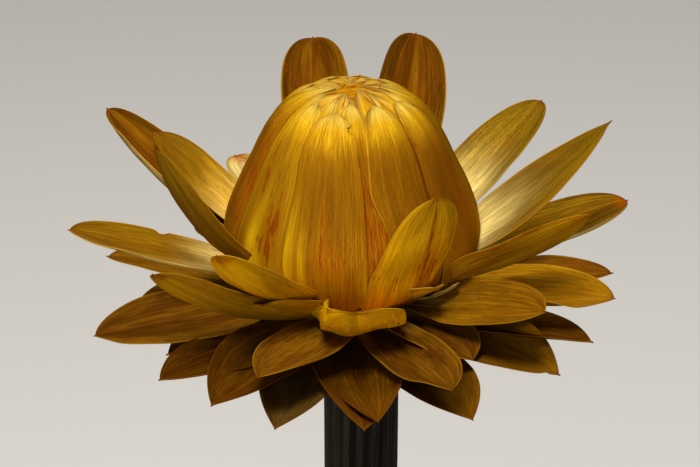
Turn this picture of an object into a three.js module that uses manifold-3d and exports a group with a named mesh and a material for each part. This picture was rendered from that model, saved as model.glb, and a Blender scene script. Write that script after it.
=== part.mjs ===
// A dried strawflower on its own stem, standing in a small bud vase.
// Millimetres and degrees, Z up. The origin is the centre of the vase's foot and the bloom's front faces -Y.

import * as THREE from 'three';
import { mergeVertices } from 'three/addons/utils/BufferGeometryUtils.js';
import Module from 'manifold-3d';

// Vase
const VASE_HEIGHT = 78;
const VASE_FOOT_RADIUS = 15;
const VASE_BODY_RADIUS = 23;
const VASE_NECK_RADIUS = 7.3;
const VASE_LIP_RADIUS = 8.6;
const VASE_WALL = 2.6;
const VASE_FLOOR = 4;
const VASE_SIDES = 32;

// Stem
const STEM_TOP_RADIUS = 4.2;
const STEM_FOOT_RADIUS = 3.5;
const STEM_RIBS = 16;
const STEM_RIB_DEPTH = 0.16;
const STEM_TWIST = 25;
const BARE_STEM = 31;

// Bloom
const BLOOM_OFFSET_X = -1;
const BLOOM_BASE_Z = VASE_HEIGHT + BARE_STEM;
const SOCKET_DEPTH = 5;
const BRACT_THICKNESS = 0.7;
const BRACT_TIP_WIDTH = 0.7;
const BRACT_KEEL = 0.12;
const CENTRELINE_STEPS = 24;
const ROLL_REACHED_AT = 0.4;
const WIDEST_AT = 0.5;
const SWAY_SPAN = [0.35, 1.1];

// Outline of the closed dome from its foot to its crown, as radius and height
const DOME_OUTLINE = [
  [6.2, 0], [9.5, 1.3], [12, 3.2], [13.3, 5.6], [13.2, 8.1], [12.2, 11.1],
  [10.8, 14.1], [9.6, 16.8], [8.3, 19.1], [6.5, 21.1], [3.8, 22.4], [0, 22.9],
];

// Closed bracts on the dome, raised from its surface. Places along the outline are fractions of its length.
const CLOSED_BRACTS = 10;
const FIRST_CLOSED_FACING = -12;
const CLOSED_HALF_ANGLE = { foot: 12, top: 17.3 };
const CLOSED_LIFT = 0.35;
const CLOSED_LEAN = 0.12;
const GAP_LIFT = -0.2;
const OUTER_TIP = { at: 0.88, arch: 0.07 };
const INNER_TIP = { at: 0.955, arch: 0.035 };
const STEP_LENGTH = 0.008;

// Where each layer of open bracts leaves the receptacle, and what its bracts are like when nothing else is said.
// Facing is the compass angle from the front, positive to the right. Rise is the slope at the root and at the tip.
// Foot is the root's share of the width, and sway is how far the tip drifts to one side.
const UPPER = {
  ringRadius: 6.3, ringHeight: 0.6, taper: [2.4, 0.8], cells: [6, 4],
  usual: { rise: [20, 30], length: 28, width: 7, cup: 20 },
};
const MIDDLE = {
  ringRadius: 6.3, ringHeight: -1, taper: [2.2, 0.9], cells: [6, 2],
  usual: { rise: [5, 3], length: 25, width: 8, cup: 20 },
};
const LOWER = {
  ringRadius: 6, ringHeight: -2.6, taper: [2, 1], cells: [6, 2],
  usual: { rise: [0, 3], length: 24, width: 9.5, cup: 20 },
};

const UPPER_BRACTS = [
  { facing: 192, root: 197, rise: [48, 26], width: 8, roll: -5, bend: -10 },
  { facing: 162, root: 149, rise: [50, 38], length: 27, width: 8, roll: 20, bend: 12 },
  { facing: 136, rise: [21, 24], width: 7.1, roll: 5, bend: 5 },
  { facing: 105, rise: [6, 12], length: 26.5, roll: 15, bend: 12 },
  { facing: 90, rise: [34, 48], width: 6.4, roll: 18, taper: [2, 1] },
  { facing: 57, rise: [21, 46], width: 6.5, roll: -30, bend: -6 },
  { facing: 12, root: 39, rise: [24, 88], length: 23, width: 9.8, cup: 8, roll: 20, bend: -4, foot: 0.8, sway: 2.5,
    drop: 1.2 },
  { facing: 3, rise: [0, 55], length: 19, width: 10.5, cup: 45, drop: 1, taper: [3, 0.5] },
  { facing: -24, rise: [18, 48], width: 6, roll: 20, bend: -8 },
  { facing: -57, rise: [26, 76], width: 5.6, roll: 22, bend: -4 },
  { facing: -72, rise: [17, 24], length: 26.2, width: 6.2, roll: -15, bend: -5, drop: -0.4 },
  { facing: -98, rise: [12, 26], length: 10 },
  { facing: -115, rise: [20, 42], roll: -12, bend: -4, drop: 0.2 },
  { facing: -118, rise: [25, 42], length: 22 },
  { facing: -136, rise: [8, 16], length: 20 },
  { facing: -148, rise: [18, 4], length: 18.5 },
];

const MIDDLE_BRACTS = [
  { facing: -100, rise: [5, 5], length: 21 },
  { facing: -85, rise: [-2, -2], length: 17 },
  { facing: -65, rise: [4, 0], length: 23.5, width: 7.5, roll: -18 },
  { facing: -45, root: -26, rise: [9, 46], length: 26.5, width: 6.5, roll: 32, bend: -8 },
  { facing: -19, root: -2, rise: [7, 14], bend: -6 },
  { facing: 23, root: 11, rise: [3, 12], width: 7.5, bend: -5 },
  { facing: 34, rise: [5, 2], length: 16 },
  { facing: 43, root: 58, rise: [19, 20], width: 6.5, roll: 32, bend: -12 },
  { facing: 63, rise: [17, 10], roll: 18 },
  { facing: 85, rise: [7, 10], length: 22 },
];

const LOWER_BRACTS = [
  { facing: -80, rise: [-8, -8], length: 17 },
  { facing: -58, rise: [0, 0], length: 17 },
  { facing: -43, rise: [0, 14], bend: 4, drop: 0.6 },
  { facing: -30, rise: [7, 0], roll: -6, bend: 4 },
  { facing: -17, rise: [2, 2], width: 8.5, roll: -5, bend: 5, drop: 0.6 },
  { facing: 0, rise: [2, 1], roll: -9, bend: 6 },
  { facing: 5, rise: [7, 3], width: 8.5, roll: 10, drop: 0.6 },
  { facing: 24, rise: [-3, 7], drop: 0.4 },
  { facing: 50, rise: [7, 0], length: 23, roll: 10, bend: -6 },
  { facing: 60, rise: [10, 9], roll: -6, bend: -7, drop: 0.5 },
  { facing: 88, rise: [-8, -8], length: 17 },
];

// The back of the bloom, hidden from the front, is filled at even spacing with a seeded scatter.
const HIDDEN_UPPER = { from: 172, to: 178, count: 1, rise: 10, length: 26 };
const HIDDEN_MIDDLE = { from: 112, to: 240, count: 6, rise: 3, length: 17 };
const HIDDEN_LOWER = { from: 112, to: 254, count: 7, rise: -10, length: 19 };
const SCATTER_SEED = 41;
const FACING_SCATTER = 3;
const RISE_SCATTER = 5;
const LENGTH_SCATTER = 1;

const radians = THREE.MathUtils.degToRad;
const wasm = await Module();
wasm.setup();

const GOLD = new THREE.MeshStandardMaterial({ name: 'bract', color: 0xd9a11e, roughness: 0.55, side: THREE.DoubleSide });
const BARK = new THREE.MeshStandardMaterial({ name: 'dried stem', color: 0x6b5f4c, roughness: 0.95 });
const CLAY = new THREE.MeshStandardMaterial({ name: 'stoneware', color: 0xb9ada0, roughness: 0.8 });

function seededDraw(seed) {
  let state = seed;
  return () => {
    state = (state * 16807) % 2147483647;
    return (state / 2147483647) * 2 - 1;
  };
}

function solidFromGeometry(geometry) {
  const bare = geometry.clone();
  bare.deleteAttribute('normal');
  bare.deleteAttribute('uv');
  const merged = mergeVertices(bare, 1e-4);
  return new wasm.Manifold(new wasm.Mesh({
    numProp: 3,
    vertProperties: new Float32Array(merged.attributes.position.array),
    triVerts: new Uint32Array(merged.index.array),
  }));
}

function geometryFromSolid(solid) {
  const mesh = solid.getMesh();
  const geometry = new THREE.BufferGeometry();
  geometry.setAttribute('position', new THREE.BufferAttribute(new Float32Array(mesh.vertProperties), 3));
  geometry.setIndex(new THREE.BufferAttribute(new Uint32Array(mesh.triVerts), 1));
  geometry.computeVertexNormals();
  return geometry;
}

// Unit normal of a sheet of points at one row and column, from its neighbours.
function sheetNormal(sheet, i, j) {
  const last = sheet.length - 1;
  const edge = sheet[0].length - 1;
  const along = new THREE.Vector3().subVectors(sheet[Math.min(i + 1, last)][j], sheet[Math.max(i - 1, 0)][j]);
  const across = new THREE.Vector3().subVectors(sheet[i][Math.min(j + 1, edge)], sheet[i][Math.max(j - 1, 0)]);
  return along.cross(across).normalize();
}

// Gives a sheet of points a thickness, with both faces split into triangles alike.
function solidFromSheet(sheet, thickness) {
  const rows = sheet.length;
  const columns = sheet[0].length;
  const faceSize = rows * columns;
  const positions = new Float32Array(faceSize * 6);
  for (let i = 0; i < rows; i++) {
    for (let j = 0; j < columns; j++) {
      const normal = sheetNormal(sheet, i, j);
      const index = i * columns + j;
      sheet[i][j].clone().addScaledVector(normal, thickness / 2).toArray(positions, index * 3);
      sheet[i][j].clone().addScaledVector(normal, -thickness / 2).toArray(positions, (faceSize + index) * 3);
    }
  }
  const triangles = [];
  for (let i = 0; i < rows - 1; i++) {
    for (let j = 0; j < columns - 1; j++) {
      const a = i * columns + j;
      const b = a + columns;
      triangles.push(a, b, b + 1, a, b + 1, a + 1);
      const c = a + faceSize;
      const d = b + faceSize;
      triangles.push(c, d + 1, d, c, c + 1, d + 1);
    }
  }
  const border = [];
  for (let i = 0; i < rows - 1; i++) border.push(i * columns);
  for (let j = 0; j < columns - 1; j++) border.push((rows - 1) * columns + j);
  for (let i = rows - 1; i > 0; i--) border.push(i * columns + columns - 1);
  for (let j = columns - 1; j > 0; j--) border.push(j);
  border.forEach((u, k) => {
    const v = border[(k + 1) % border.length];
    triangles.push(v, u, u + faceSize, v, u + faceSize, v + faceSize);
  });
  return new wasm.Manifold(new wasm.Mesh({
    numProp: 3,
    vertProperties: positions,
    triVerts: new Uint32Array(triangles),
  }));
}

// Half the width of a bract at a fraction of its length, as a share of its greatest half width.
function bractTaper(t, [power, bluntness], foot) {
  if (t < WIDEST_AT) return foot + (1 - foot) * Math.sin((Math.PI / 2) * (t / WIDEST_AT));
  return Math.max(0, 1 - ((t - WIDEST_AT) / (1 - WIDEST_AT)) ** power) ** bluntness;
}

// The middle sheet of an open bract, rows of points from root to tip.
function openBractSheet(bract, layer) {
  const { facing, rise, length, width, cup, root = facing, roll = 0, bend = 0, drop = 0, foot = 0.3, sway = 0 } = bract;
  const taper = bract.taper ?? layer.taper;
  const [rows, columns] = layer.cells;
  const direction = (t) => {
    const turn = radians(facing + bend * t);
    const slope = radians(rise[0] + (rise[1] - rise[0]) * t);
    return new THREE.Vector3(Math.sin(turn) * Math.cos(slope), -Math.cos(turn) * Math.cos(slope), Math.sin(slope));
  };
  const start = radians(root);
  const point = new THREE.Vector3(
    layer.ringRadius * Math.sin(start), -layer.ringRadius * Math.cos(start), layer.ringHeight - drop);
  const cupAngle = radians(cup);
  const sheet = [];
  for (let step = 0; step <= CENTRELINE_STEPS; step++) {
    const t = step / CENTRELINE_STEPS;
    if (step % (CENTRELINE_STEPS / rows) === 0) {
      const turn = radians(facing + bend * t);
      const flatSide = new THREE.Vector3(Math.cos(turn), Math.sin(turn), 0);
      const flatUp = direction(t).cross(flatSide);
      const rolled = radians(roll) * Math.min(1, t / ROLL_REACHED_AT) ** 0.8;
      const side = flatSide.clone().multiplyScalar(Math.cos(rolled)).addScaledVector(flatUp, Math.sin(rolled));
      const up = flatUp.clone().multiplyScalar(Math.cos(rolled)).addScaledVector(flatSide, -Math.sin(rolled));
      const centre = point.clone().addScaledVector(flatSide, sway * THREE.MathUtils.smoothstep(t, ...SWAY_SPAN));
      const half = Math.max(BRACT_TIP_WIDTH, width * bractTaper(t, taper, foot)) / 2;
      const row = [];
      for (let j = 0; j <= columns; j++) {
        const s = (2 * j) / columns - 1;
        const across = (half * Math.sin(cupAngle * s)) / cupAngle;
        const raised = half * ((1 - Math.cos(cupAngle * s)) / cupAngle + BRACT_KEEL * Math.abs(s));
        row.push(centre.clone().addScaledVector(side, across).addScaledVector(up, raised));
      }
      sheet.push(row);
    }
    point.addScaledVector(direction(t + 0.5 / CENTRELINE_STEPS), length / CENTRELINE_STEPS);
  }
  return sheet;
}

// Point on the dome at a fraction of its outline, lifted along the outline's normal and turned to face a way.
const domeCurve = new THREE.SplineCurve(DOME_OUTLINE.map(([r, z]) => new THREE.Vector2(r, z)));

function domePoint(along, lift, facing) {
  const place = domeCurve.getPoint(Math.min(along, 1));
  const tangent = domeCurve.getTangent(Math.min(along, 1));
  const radius = place.x + tangent.y * lift;
  const turn = radians(facing);
  return [radius * Math.sin(turn), -radius * Math.cos(turn), place.y - tangent.x * lift];
}

// Columns of the dome's mesh across one closed bract and the gap beside it: share of the half angle, and lift.
const BRACT_COLUMNS = [-1, -1 / 3, 1 / 3, 1].map((s) => ({ s, lift: CLOSED_LIFT + CLOSED_LEAN * s }));
const GAP_COLUMNS = [0.15, 0.85].map((share) => ({ share, lift: GAP_LIFT }));

function domeRow(along, archAcross, relief) {
  const row = [];
  const spacing = 360 / CLOSED_BRACTS;
  for (let k = 0; k < CLOSED_BRACTS; k++) {
    const middle = FIRST_CLOSED_FACING + spacing * k;
    const { foot, top } = CLOSED_HALF_ANGLE;
    const half = foot + (top - foot) * Math.sin((Math.PI / 2) * Math.min(1, along / 0.4));
    for (const { s, lift } of BRACT_COLUMNS) {
      const facing = middle + half * s;
      row.push(domePoint(archAcross(along, facing), lift * relief, facing));
    }
    for (const { share, lift } of GAP_COLUMNS) {
      const facing = middle + half + (spacing - 2 * half) * share;
      row.push(domePoint(archAcross(along, facing), lift * relief, facing));
    }
  }
  return row;
}

// Share of the way from the middle of the nearest bract to the middle of the gap beside it.
function shareToGap(facing) {
  const spacing = 360 / CLOSED_BRACTS;
  const turns = (facing - FIRST_CLOSED_FACING) / spacing;
  return 2 * Math.abs(turns - Math.round(turns));
}

// The dome as one skin: outer closed bracts up to their tips, a step down, the inner ones, and the crown.
function domeSolid() {
  const outerArch = (along, facing) => along * (1 - (OUTER_TIP.arch / OUTER_TIP.at) * shareToGap(facing) ** 3);
  const innerArch = (along, facing) => along - INNER_TIP.arch * (1 - shareToGap(facing)) ** 2;
  const rows = [];
  const outerRows = 9;
  for (let i = 0; i <= outerRows; i++) {
    const along = (OUTER_TIP.at * i) / outerRows;
    rows.push(domeRow(along, outerArch, Math.min(1, along / 0.1)));
  }
  rows.push(domeRow(OUTER_TIP.at + STEP_LENGTH, outerArch, 0));
  rows.push(domeRow(INNER_TIP.at, innerArch, 0.2));
  rows.push(domeRow(INNER_TIP.at + STEP_LENGTH, innerArch, -0.3));
  rows.push(domeRow(0.985, (along) => along, 0.1));
  const columns = rows[0].length;
  const positions = rows.flat(2);
  const crown = positions.length / 3;
  positions.push(...domePoint(1, 0, 0), 0, 0, 0);
  positions[crown * 3] = 0;
  positions[crown * 3 + 1] = 0;
  const triangles = [];
  for (let j = 0; j < columns; j++) {
    const next = (j + 1) % columns;
    for (let i = 0; i < rows.length - 1; i++) {
      const a = i * columns + j;
      const b = i * columns + next;
      triangles.push(a, b, b + columns, a, b + columns, a + columns);
    }
    const last = (rows.length - 1) * columns;
    triangles.push(crown, last + j, last + next, crown + 1, next, j);
  }
  return new wasm.Manifold(new wasm.Mesh({
    numProp: 3,
    vertProperties: new Float32Array(positions),
    triVerts: new Uint32Array(triangles),
  }));
}

function hiddenBracts(span, draw) {
  const bracts = [];
  for (let k = 0; k < span.count; k++) {
    const middle = span.from + ((span.to - span.from) * (k + 0.5)) / span.count;
    const rise = span.rise + RISE_SCATTER * draw();
    bracts.push({
      facing: middle + FACING_SCATTER * draw(),
      rise: [rise, rise],
      length: span.length + LENGTH_SCATTER * draw(),
    });
  }
  return bracts;
}

// The swollen end of the stalk that carries the bracts.
function receptacleSolid() {
  const outline = [[0, -SOCKET_DEPTH], [STEM_TOP_RADIUS, -SOCKET_DEPTH], [5.6, -4], [6.8, -2.6], [7, -1], [6.6, 0.4], [0, 1.4]];
  return solidFromGeometry(new THREE.LatheGeometry(outline.map(([r, z]) => new THREE.Vector2(r, z)), 24).rotateX(Math.PI / 2));
}

function bloomGeometry() {
  const draw = seededDraw(SCATTER_SEED);
  const layers = [
    [UPPER, [...UPPER_BRACTS, ...hiddenBracts(HIDDEN_UPPER, draw)]],
    [MIDDLE, [...MIDDLE_BRACTS, ...hiddenBracts(HIDDEN_MIDDLE, draw)]],
    [LOWER, [...LOWER_BRACTS, ...hiddenBracts(HIDDEN_LOWER, draw)]],
  ];
  let bloom = domeSolid().add(receptacleSolid());
  for (const [layer, bracts] of layers) {
    for (const bract of bracts) {
      const sheet = openBractSheet({ ...layer.usual, ...bract }, layer);
      bloom = bloom.add(solidFromSheet(sheet, BRACT_THICKNESS));
    }
  }
  // Small pockets that the bracts seal between them are filled.
  const bodies = bloom.decompose().sort((a, b) => b.volume() - a.volume());
  return geometryFromSolid(bodies[0].simplify(0.03));
}

// The ribbed stem, from the vase's inside floor to the receptacle.
function stemGeometry(height) {
  const sides = STEM_RIBS * 2;
  const rows = 8;
  const positions = [];
  const triangles = [];
  for (let i = 0; i <= rows; i++) {
    const t = i / rows;
    const base = STEM_FOOT_RADIUS + (STEM_TOP_RADIUS - STEM_FOOT_RADIUS) * t;
    for (let j = 0; j < sides; j++) {
      const turn = (2 * Math.PI * j) / sides + radians(STEM_TWIST) * t;
      const radius = base - (j % 2 ? STEM_RIB_DEPTH : 0);
      positions.push(radius * Math.cos(turn), radius * Math.sin(turn), height * t);
    }
  }
  const bottom = positions.length / 3;
  positions.push(0, 0, 0, 0, 0, height);
  for (let j = 0; j < sides; j++) {
    const next = (j + 1) % sides;
    for (let i = 0; i < rows; i++) {
      const a = i * sides + j;
      const b = i * sides + next;
      triangles.push(a, b, b + sides, a, b + sides, a + sides);
    }
    triangles.push(bottom, next, j, bottom + 1, rows * sides + j, rows * sides + next);
  }
  const geometry = new THREE.BufferGeometry();
  geometry.setAttribute('position', new THREE.Float32BufferAttribute(positions, 3));
  geometry.setIndex(triangles);
  geometry.computeVertexNormals();
  return geometry;
}

function vaseGeometry() {
  const outside = new THREE.SplineCurve([
    [VASE_FOOT_RADIUS, 0],
    [VASE_BODY_RADIUS * 0.86, 6],
    [VASE_BODY_RADIUS * 0.99, 18],
    [VASE_BODY_RADIUS * 0.98, 29],
    [VASE_BODY_RADIUS * 0.8, 41],
    [VASE_BODY_RADIUS * 0.51, 52],
    [VASE_NECK_RADIUS + 0.9, 62],
    [VASE_NECK_RADIUS, 71],
    [VASE_LIP_RADIUS, VASE_HEIGHT - VASE_WALL / 2],
  ].map(([r, z]) => new THREE.Vector2(r, z))).getPoints(13);
  const inside = outside
    .filter((point) => point.y > VASE_FLOOR + 3)
    .map((point) => new THREE.Vector2(point.x - VASE_WALL, point.y))
    .reverse();
  const lip = [];
  const lipRadius = VASE_WALL / 2;
  for (let k = 1; k < 4; k++) {
    const turn = (Math.PI * k) / 4;
    lip.push(new THREE.Vector2(
      VASE_LIP_RADIUS - lipRadius + lipRadius * Math.cos(turn),
      VASE_HEIGHT - lipRadius + lipRadius * Math.sin(turn)));
  }
  const floorRadius = VASE_FOOT_RADIUS - VASE_WALL;
  const outline = [new THREE.Vector2(0, 0), ...outside, ...lip, ...inside];
  outline.push(new THREE.Vector2(floorRadius, VASE_FLOOR), new THREE.Vector2(0, VASE_FLOOR));
  return new THREE.LatheGeometry(outline, VASE_SIDES);
}

function named(name, geometry, material) {
  const mesh = new THREE.Mesh(geometry, material);
  mesh.name = name;
  return mesh;
}

const strawflower = new THREE.Group();

// LatheGeometry turns its outline round Y, so a quarter turn stands it up.
const vase = named('vase', vaseGeometry().rotateX(Math.PI / 2), CLAY);
strawflower.add(vase);

const stem = named('stem', stemGeometry(BLOOM_BASE_Z - SOCKET_DEPTH - VASE_FLOOR), BARK);
stem.position.z = VASE_FLOOR;
strawflower.add(stem);

const bloom = named('bloom', bloomGeometry(), GOLD);
bloom.position.set(BLOOM_OFFSET_X, 0, BLOOM_BASE_Z);
strawflower.add(bloom);

export default strawflower;
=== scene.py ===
import math
from functools import partial
import bpy
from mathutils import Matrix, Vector, noise


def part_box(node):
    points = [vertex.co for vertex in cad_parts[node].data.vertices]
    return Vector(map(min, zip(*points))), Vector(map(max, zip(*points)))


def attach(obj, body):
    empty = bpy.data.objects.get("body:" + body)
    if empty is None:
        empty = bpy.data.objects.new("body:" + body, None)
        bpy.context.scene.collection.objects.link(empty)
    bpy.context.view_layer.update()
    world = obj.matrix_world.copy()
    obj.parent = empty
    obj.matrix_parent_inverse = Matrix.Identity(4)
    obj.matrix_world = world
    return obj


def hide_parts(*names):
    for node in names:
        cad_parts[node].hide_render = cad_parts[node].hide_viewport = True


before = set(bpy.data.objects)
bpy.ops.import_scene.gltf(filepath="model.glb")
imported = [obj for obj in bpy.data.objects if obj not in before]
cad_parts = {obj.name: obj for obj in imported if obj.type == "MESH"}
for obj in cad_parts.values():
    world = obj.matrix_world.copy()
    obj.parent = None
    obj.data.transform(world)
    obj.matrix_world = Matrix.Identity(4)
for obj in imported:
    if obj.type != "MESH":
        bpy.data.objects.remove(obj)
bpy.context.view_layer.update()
scene = bpy.context.scene
mm = 0.001
bloomX = -1  # the bloom sits a little to the left on its stem
footRise = 5  # from the stem's top up to the foot of the dome
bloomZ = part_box("stem")[1].z / mm + footRise
print("frame loaded")


# Helpers for objects and nodes

def addObject(name, data):
    thing = bpy.data.objects.new(name, data)
    scene.collection.objects.link(thing)
    return thing


def newMaterial(name):
    material = bpy.data.materials.new(name)
    material.use_nodes = True
    return material, material.node_tree


def fill(node, inputs):  # each input is named or numbered, and takes a link, a number or a colour
    for key, value in inputs.items():
        socket = node.inputs[key]
        if isinstance(value, bpy.types.NodeSocket):
            node.id_data.links.new(value, socket)
        elif socket.type == "RGBA":
            socket.default_value = (*value, 1)
        else:
            socket.default_value = value


def addNode(kind, inputs, tree=None, **settings):  # in the tree of its first link, if none is given
    links = [value for value in inputs.values() if isinstance(value, bpy.types.NodeSocket)]
    node = (tree or links[0].id_data).nodes.new("ShaderNode" + kind)
    for name, value in settings.items():
        setattr(node, name, value)
    fill(node, inputs)
    return node


def mathNode(operation, *values):
    return addNode("Math", dict(enumerate(values)), operation=operation).outputs[0]


times = partial(mathNode, "MULTIPLY")
plus = partial(mathNode, "ADD")
minus = partial(mathNode, "SUBTRACT")


def rangeNode(value, low, high, start=0.0, end=1.0):
    inputs = {"Value": value, "From Min": low, "From Max": high, "To Min": start, "To Max": end}
    return addNode("MapRange", inputs, interpolation_type="SMOOTHSTEP").outputs["Result"]


def blendNode(share, first, second, kind="MIX"):
    inputs = {0: share, 6: first, 7: second}
    return addNode("Mix", inputs, data_type="RGBA", blend_type=kind).outputs[2]


def paint(colour, *layers):  # each layer is its share and its colour
    for share, over in layers:
        colour = blendNode(share, colour, over)
    return colour


def vectorNode(x, y, z):
    return addNode("CombineXYZ", {0: x, 1: y, 2: z}).outputs[0]


def noiseNode(vector, scale, detail=2.0, roughness=0.5):
    inputs = {"Vector": vector, "Scale": scale, "Detail": detail, "Roughness": roughness}
    return addNode("TexNoise", inputs).outputs["Fac"]


def patternNode(place, stretch, detail=2.0, roughness=0.5):
    across, along, seed = place[:3]
    spot = vectorNode(times(across, stretch[0]), times(along, stretch[1]), plus(seed, stretch[2]))
    return noiseNode(spot, 1.0, detail, roughness)


def rampNode(value, stops):
    node = addNode("ValToRGB", {"Fac": value})
    ramp = node.color_ramp
    while len(ramp.elements) < len(stops):
        ramp.elements.new(0.5)
    for element, (place, colour) in zip(ramp.elements, stops):
        element.position = place
        element.color = (*colour, 1)
    return node.outputs["Color"]


def bumpNode(height, strength, distance):
    inputs = {"Height": height, "Strength": strength, "Distance": distance}
    return addNode("Bump", inputs).outputs["Normal"]


def attributeParts(tree, name):  # the three numbers that each point of a piece has under this name
    vector = addNode("Attribute", {}, tree, attribute_name=name).outputs["Vector"]
    return addNode("SeparateXYZ", {0: vector}).outputs


def newGroup(name, inputs, outputs):
    group = bpy.data.node_groups.new(name, "ShaderNodeTree")
    for label in inputs:
        kind = "Vector" if label == "Vector" else "Float"
        group.interface.new_socket(name=label, in_out="INPUT", socket_type="NodeSocket" + kind)
    for label in outputs:
        group.interface.new_socket(name=label, in_out="OUTPUT", socket_type="NodeSocketFloat")
    return group, group.nodes.new("NodeGroupInput").outputs, group.nodes.new("NodeGroupOutput")


def placeGroup(group, **values):
    return addNode("Group", values, node_tree=group).outputs


# Camera and room

view = {
    "elevation": 25, "distance": 350,
    "pixelSize": 0.1079,  # mm across one pixel of the photo, at the camera's distance
    "imageSize": (700, 467),
    "bloomPixel": (352, 282),  # where the middle of the bloom's foot shows in the photo
    "sensorWidth": 36, "clipStart": 0.01,
}


def makeCamera():
    slope = math.radians(view["elevation"])
    up = Vector((0, math.sin(slope), math.cos(slope)))
    back = Vector((0, -math.cos(slope), math.sin(slope)))
    size = view["pixelSize"]
    width, height = view["imageSize"]
    right = (width / 2 - view["bloomPixel"][0]) * size
    rise = (view["bloomPixel"][1] - height / 2) * size
    aim = Vector((bloomX + right, 0, bloomZ)) + up * rise
    data = bpy.data.cameras.new("camera")
    data.sensor_width = view["sensorWidth"]
    data.lens = data.sensor_width * view["distance"] / (width * size)
    data.clip_start = view["clipStart"]
    camera = addObject("camera", data)
    camera.location = (aim + back * view["distance"]) * mm
    camera.rotation_euler = (math.radians(90) - slope, 0, 0)
    scene.camera = camera


studio = {  # sizes are in metres
    "floorReach": 2.5, "wallRise": 2.0, "bend": 0.5, "bendSteps": 12, "floorColour": (0.5, 0.494, 0.48),
    "floorRoughness": 0.9, "worldColour": (1.0, 0.98, 0.95), "worldStrength": 0.17,
    "lampAim": Vector((0, 0, 0.11)),
    "lamps": {  # name: place, size of the square lamp, watts, colour
        "topLamp": ((-0.04, -0.24, 0.56), 0.14, 3.7, (1.0, 0.95, 0.86)),
        "frontLamp": ((-0.12, -0.63, 0.24), 0.3, 1.7, (1.0, 0.97, 0.92)),
        "sideLamp": ((-0.6, -0.1, 0.3), 0.4, 0.7, (1.0, 0.98, 0.95)),
        "roofLamp": ((0.1, 0.14, 0.6), 0.3, 1.9, (1.0, 0.98, 0.95)),
    },
}


def makeFloor():  # a pale sweep that bends up into a wall behind
    reach, bend, steps = studio["floorReach"], studio["bend"], studio["bendSteps"]
    outline = [(-reach, 0), (reach - bend, 0)]
    for k in range(1, steps + 1):
        turn = math.radians(90) * k / steps
        outline.append((reach - bend + bend * math.sin(turn), bend - bend * math.cos(turn)))
    outline.append((reach, studio["wallRise"]))
    points = [(side * reach, y, z) for y, z in outline for side in (-1, 1)]
    faces = [(2 * k, 2 * k + 1, 2 * k + 3, 2 * k + 2) for k in range(len(outline) - 1)]
    mesh = bpy.data.meshes.new("floor")
    mesh.from_pydata(points, [], faces)
    mesh.shade_smooth()
    floor = addObject("floor", mesh)
    material, tree = newMaterial("palePaper")
    fill(tree.nodes["Principled BSDF"],
         {"Base Color": studio["floorColour"], "Roughness": studio["floorRoughness"]})
    mesh.materials.append(material)


def makeLight():
    for name, (place, size, watts, colour) in studio["lamps"].items():
        data = bpy.data.lights.new(name, "AREA")
        data.size = size
        data.energy = watts
        data.color = colour
        lamp = addObject(name, data)
        lamp.location = place
        lamp.rotation_euler = (studio["lampAim"] - Vector(place)).to_track_quat("-Z", "Y").to_euler()
    world = bpy.data.worlds.new("studioAir")
    world.use_nodes = True
    fill(world.node_tree.nodes["Background"],
         {"Color": studio["worldColour"], "Strength": studio["worldStrength"]})
    scene.world = world
    scene.view_settings.view_transform = "Standard"
    scene.view_settings.look = "None"


makeCamera()
makeFloor()
makeLight()
print("camera and studio ready")


# Effects that several materials share. A pattern is its stretch across and along, and a shift.

weave = {
    "fleck": (1, 1, 0), "vein": (0.6, 0.14, 77.3), "wideAlong": 0.3, "wideShift": 31.7,
    "shares": (0.4, 0.4, 0.2),  # of the fleck, the vein and the wide pattern
    "shade": (0.4, 0.6),
    "line": (0.008, 0.035, 1.0, 0.0),  # a line lies where the vein is near its middle
    "lineDepth": 0.12,
}


def fibreGroup():  # fine threads that run along a piece: Across and Along in threads, Seed moves them
    group, entry, leave = newGroup(
        "dryFibres", ("Across", "Along", "Seed", "Coarse"), ("Shade", "Height", "Line"))
    fleck = patternNode(entry, weave["fleck"], 3.0, 0.55)
    vein = patternNode(entry, weave["vein"], 2.0, 0.65)
    wide = patternNode(entry, (entry["Coarse"], weave["wideAlong"], weave["wideShift"]), 1.0)
    parts = [times(value, share) for value, share in zip((fleck, vein, wide), weave["shares"])]
    height = plus(plus(parts[0], parts[1]), parts[2])
    line = rangeNode(mathNode("ABSOLUTE", minus(vein, 0.5)), *weave["line"])
    fill(leave, {
        "Shade": rangeNode(height, *weave["shade"]),
        "Height": minus(height, times(line, weave["lineDepth"])),
        "Line": line,
    })
    return group


streak = {
    "thread": (1, 1, 0), "patch": (0.22, 1.3, 9.1), "threadShare": 0.85, "patchShare": 0.15,
    "bareLevel": 0.72,  # a streak starts above this level, which Amount brings down
    "amountDrop": 0.2, "amountLimit": 1.15, "softness": 0.045,
}


def streakGroup():  # broken dark streaks along the fibres, more of them as Amount grows
    group, entry, leave = newGroup("brokenStreaks", ("Across", "Along", "Seed", "Amount"), ("Mask",))
    thread = patternNode(entry, streak["thread"], 2.0, 0.6)
    patch = patternNode(entry, streak["patch"], 1.0)
    level = plus(times(thread, streak["threadShare"]), times(patch, streak["patchShare"]))
    amount = mathNode("MINIMUM", entry["Amount"], streak["amountLimit"])
    start = minus(streak["bareLevel"], times(amount, streak["amountDrop"]))
    fill(leave, {"Mask": rangeNode(level, start, plus(start, streak["softness"]))})
    return group


speck = {"leastSize": 0.4, "solidShare": 0.6}


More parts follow.
